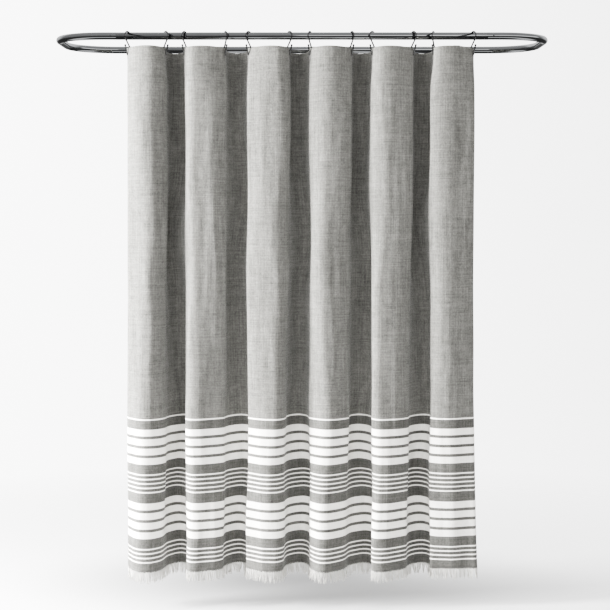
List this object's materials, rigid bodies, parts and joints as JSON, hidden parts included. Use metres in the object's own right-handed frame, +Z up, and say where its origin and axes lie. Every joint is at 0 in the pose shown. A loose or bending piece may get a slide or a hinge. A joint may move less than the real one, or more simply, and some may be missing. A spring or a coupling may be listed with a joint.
{
  "type": "shower curtain",
  "caption": "Woven cloth shower curtain with a striped border and fringe, hung in pleats by wire hooks that slide on an oval wall-fixed rail.",
  "frame": {"origin": "on the wall plane, at the height of the rail's centreline, midway between the two wall supports", "axes": "+X along the rail to the right as seen from the room, +Y into the wall, +Z up"},
  "size_m": [1.7154, 0.6334, 1.8806],
  "materials": {
    "rail_chrome": "polished chrome plate",
    "hook_chrome": "polished wire, slightly duller than the rail",
    "fastener_steel": "plain steel",
    "grey_cloth": "grey melange weave with woven off-white stripes near the bottom",
    "white_yarn": "loose off-white cotton yarn",
    "stitching_thread": "close buttonhole stitch"
  },
  "bodies": {
    "rail": {"rail_front_run": "rail_chrome", "rail_rear_run": "rail_chrome", "rail_left_end": "rail_chrome", "rail_right_end": "rail_chrome", "rail_sleeve_left_front": "fastener_steel", "rail_sleeve_left_rear": "fastener_steel", "rail_sleeve_right_front": "fastener_steel", "rail_sleeve_right_rear": "fastener_steel", "rail_screw_left_front": "fastener_steel", "rail_screw_left_rear": "fastener_steel", "rail_screw_right_front": "fastener_steel", "rail_screw_right_rear": "fastener_steel", "wall_plate_left": "rail_chrome", "wall_plate_right": "rail_chrome", "support_arm_left": "rail_chrome", "support_arm_right": "rail_chrome", "rail_collar_left": "rail_chrome", "rail_collar_right": "rail_chrome", "collar_screw_left": "fastener_steel", "collar_screw_right": "fastener_steel", "wall_screw_left_inner": "fastener_steel", "wall_screw_left_outer": "fastener_steel", "wall_screw_right_inner": "fastener_steel", "wall_screw_right_outer": "fastener_steel"},
    "hook_01": {"hook_01": "hook_chrome"},
    "hook_02": {"hook_02": "hook_chrome"},
    "hook_03": {"hook_03": "hook_chrome"},
    "hook_04": {"hook_04": "hook_chrome"},
    "hook_05": {"hook_05": "hook_chrome"},
    "hook_06": {"hook_06": "hook_chrome"},
    "hook_07": {"hook_07": "hook_chrome"},
    "hook_08": {"hook_08": "hook_chrome"},
    "hook_09": {"hook_09": "hook_chrome"},
    "hook_10": {"hook_10": "hook_chrome"},
    "hook_11": {"hook_11": "hook_chrome"},
    "hook_12": {"hook_12": "hook_chrome"},
    "curtain": {"curtain_panel": "grey_cloth", "header_hem": "grey_cloth", "side_hem_left": "grey_cloth", "side_hem_right": "grey_cloth", "fringe": "white_yarn", "buttonhole_01": "stitching_thread", "buttonhole_02": "stitching_thread", "buttonhole_03": "stitching_thread", "buttonhole_04": "stitching_thread", "buttonhole_05": "stitching_thread", "buttonhole_06": "stitching_thread", "buttonhole_07": "stitching_thread", "buttonhole_08": "stitching_thread", "buttonhole_09": "stitching_thread", "buttonhole_10": "stitching_thread", "buttonhole_11": "stitching_thread", "buttonhole_12": "stitching_thread"}
  },
  "joints": [
    {"name": "shift", "type": "slide", "parent": "rail", "child": "hook_01", "axis": [1, 0, 0], "range_m": [-0.07, 0.08]},
    {"name": "draw", "type": "slide", "parent": "hook_01", "child": "hook_12", "axis": [1, 0, 0], "range_m": [-0.751, 0], "deforming": ["curtain_panel", "header_hem", "side_hem_left", "side_hem_right", "fringe", "buttonhole_01", "buttonhole_02", "buttonhole_03", "buttonhole_04", "buttonhole_05", "buttonhole_06", "buttonhole_07", "buttonhole_08", "buttonhole_09", "buttonhole_10", "buttonhole_11", "buttonhole_12"]},
    {"name": "hook_02_slide", "type": "slide", "parent": "hook_01", "child": "hook_02", "axis": [1, 0, 0], "range_m": [-0.083, 0]},
    {"name": "hook_03_slide", "type": "slide", "parent": "hook_01", "child": "hook_03", "axis": [1, 0, 0], "range_m": [-0.124, 0]},
    {"name": "hook_04_slide", "type": "slide", "parent": "hook_01", "child": "hook_04", "axis": [1, 0, 0], "range_m": [-0.213, 0]},
    {"name": "hook_05_slide", "type": "slide", "parent": "hook_01", "child": "hook_05", "axis": [1, 0, 0], "range_m": [-0.264, 0]},
    {"name": "hook_06_slide", "type": "slide", "parent": "hook_01", "child": "hook_06", "axis": [1, 0, 0], "range_m": [-0.352, 0]},
    {"name": "hook_07_slide", "type": "slide", "parent": "hook_01", "child": "hook_07", "axis": [1, 0, 0], "range_m": [-0.397, 0]},
    {"name": "hook_08_slide", "type": "slide", "parent": "hook_01", "child": "hook_08", "axis": [1, 0, 0], "range_m": [-0.488, 0]},
    {"name": "hook_09_slide", "type": "slide", "parent": "hook_01", "child": "hook_09", "axis": [1, 0, 0], "range_m": [-0.533, 0]},
    {"name": "hook_10_slide", "type": "slide", "parent": "hook_01", "child": "hook_10", "axis": [1, 0, 0], "range_m": [-0.622, 0]},
    {"name": "hook_11_slide", "type": "slide", "parent": "hook_01", "child": "hook_11", "axis": [1, 0, 0], "range_m": [-0.665, 0]},
    {"name": "sway", "type": "hinge", "parent": "hook_01", "child": "curtain", "pos_m": [-0.5915, -0.565, -0.0639], "axis": [1, 0, 0], "range_deg": [-20, 20]}
  ],
  "couplings": [
    {"joint": "hook_02_slide", "follows": "draw", "ratio": 0.10997},
    {"joint": "hook_03_slide", "follows": "draw", "ratio": 0.16453},
    {"joint": "hook_04_slide", "follows": "draw", "ratio": 0.28303},
    {"joint": "hook_05_slide", "follows": "draw", "ratio": 0.35038},
    {"joint": "hook_06_slide", "follows": "draw", "ratio": 0.46803},
    {"joint": "hook_07_slide", "follows": "draw", "ratio": 0.52771},
    {"joint": "hook_08_slide", "follows": "draw", "ratio": 0.64876},
    {"joint": "hook_09_slide", "follows": "draw", "ratio": 0.70844},
    {"joint": "hook_10_slide", "follows": "draw", "ratio": 0.82694},
    {"joint": "hook_11_slide", "follows": "draw", "ratio": 0.88491}
  ]
}
